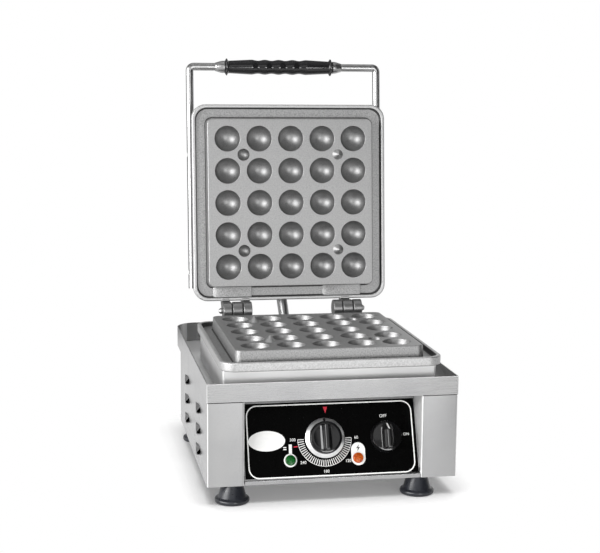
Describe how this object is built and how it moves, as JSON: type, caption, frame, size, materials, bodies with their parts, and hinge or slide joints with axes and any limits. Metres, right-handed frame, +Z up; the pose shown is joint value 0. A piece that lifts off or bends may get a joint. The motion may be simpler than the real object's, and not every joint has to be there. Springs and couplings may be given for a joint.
{
  "type": "waffle maker",
  "caption": "Countertop waffle-ball baker with two cast cup plates, a hinged lid, a bail handle and a sloped control panel",
  "frame": {"origin": "on the table under the middle of the whole object, lid open", "axes": "+Z up, the controls and the front face -Y, +X to the right as seen from the front"},
  "size_m": [0.3104, 0.3919, 0.5161],
  "materials": {
    "satin_steel": "satin",
    "bright_steel": "polished",
    "coated_casting": "satin",
    "element_sheath": "matte",
    "mineral_wool": "matte",
    "copper_bulb": "satin",
    "black_rubber": "satin",
    "black_fascia": "gloss",
    "grey_plastic": "matte",
    "black_plastic": "satin",
    "green_lens": "gloss",
    "orange_lens": "gloss"
  },
  "bodies": {
    "base": {"left_side_panel": "satin_steel", "right_side_panel": "satin_steel", "deck_tray": "satin_steel", "upper_rear_wall": "satin_steel", "rear_panel": "satin_steel", "base_plate": "satin_steel", "plinth_frame": "satin_steel", "lower_plate": "coated_casting", "lower_element": "element_sheath", "lower_clamp_plate": "satin_steel", "lower_insulation": "mineral_wool", "lower_studs": "bright_steel", "lower_stud_nuts": "bright_steel", "thermostat_bulb": "copper_bulb", "hinge_pin_left": "bright_steel", "hinge_pin_right": "bright_steel", "conduit_hose": "bright_steel", "base_conduit_gland": "black_rubber", "control_panel": "satin_steel", "panel_fascia": "black_fascia", "thermostat": "grey_plastic", "rotary_switch": "grey_plastic", "green_lamp": "green_lens", "orange_lamp": "orange_lens", "terminal_block": "grey_plastic", "cord_gland": "black_plastic", "casing_screws": "bright_steel", "front_left_foot": "black_rubber", "front_right_foot": "black_rubber", "rear_left_foot": "black_rubber", "rear_right_foot": "black_rubber", "foot_screws": "bright_steel", "foot_nuts": "bright_steel"},
    "lid": {"upper_plate": "coated_casting", "upper_element": "element_sheath", "upper_clamp_plate": "satin_steel", "upper_insulation": "mineral_wool", "lid_studs": "bright_steel", "lid_cover": "satin_steel", "lid_dome_nuts": "bright_steel", "lid_conduit_gland": "black_rubber", "handle_bail": "bright_steel", "handle_spacers": "bright_steel", "handle_screws": "bright_steel", "handle_nuts": "bright_steel", "grip_ferrules": "bright_steel"},
    "grip": {"handle_grip": "black_plastic"},
    "thermostat_knob": {"thermostat_spindle": "bright_steel", "thermostat_knob": "black_plastic", "thermostat_skirt": "bright_steel"},
    "switch_knob": {"switch_spindle": "bright_steel", "switch_knob": "black_plastic"}
  },
  "joints": [
    {"name": "lid_hinge", "type": "hinge", "parent": "base", "child": "lid", "pos_m": [0, 0.09425, 0.1784], "axis": [1, 0, 0], "range_deg": [0, 95.2], "deforming": ["conduit_hose"]},
    {"name": "grip_spin", "type": "hinge", "parent": "lid", "child": "grip", "pos_m": [-0.0075, 0.17413, 0.5045], "axis": [1, 0, 0], "continuous": true},
    {"name": "thermostat_turn", "type": "hinge", "parent": "base", "child": "thermostat_knob", "pos_m": [-0.0075, -0.16844, 0.06984], "axis": [0, 0.9272, -0.3746], "range_deg": [0, 270]},
    {"name": "switch_turn", "type": "hinge", "parent": "base", "child": "switch_knob", "pos_m": [0.0668, -0.16893, 0.06863], "axis": [0, 0.9272, -0.3746], "range_deg": [0, 90]}
  ]
}
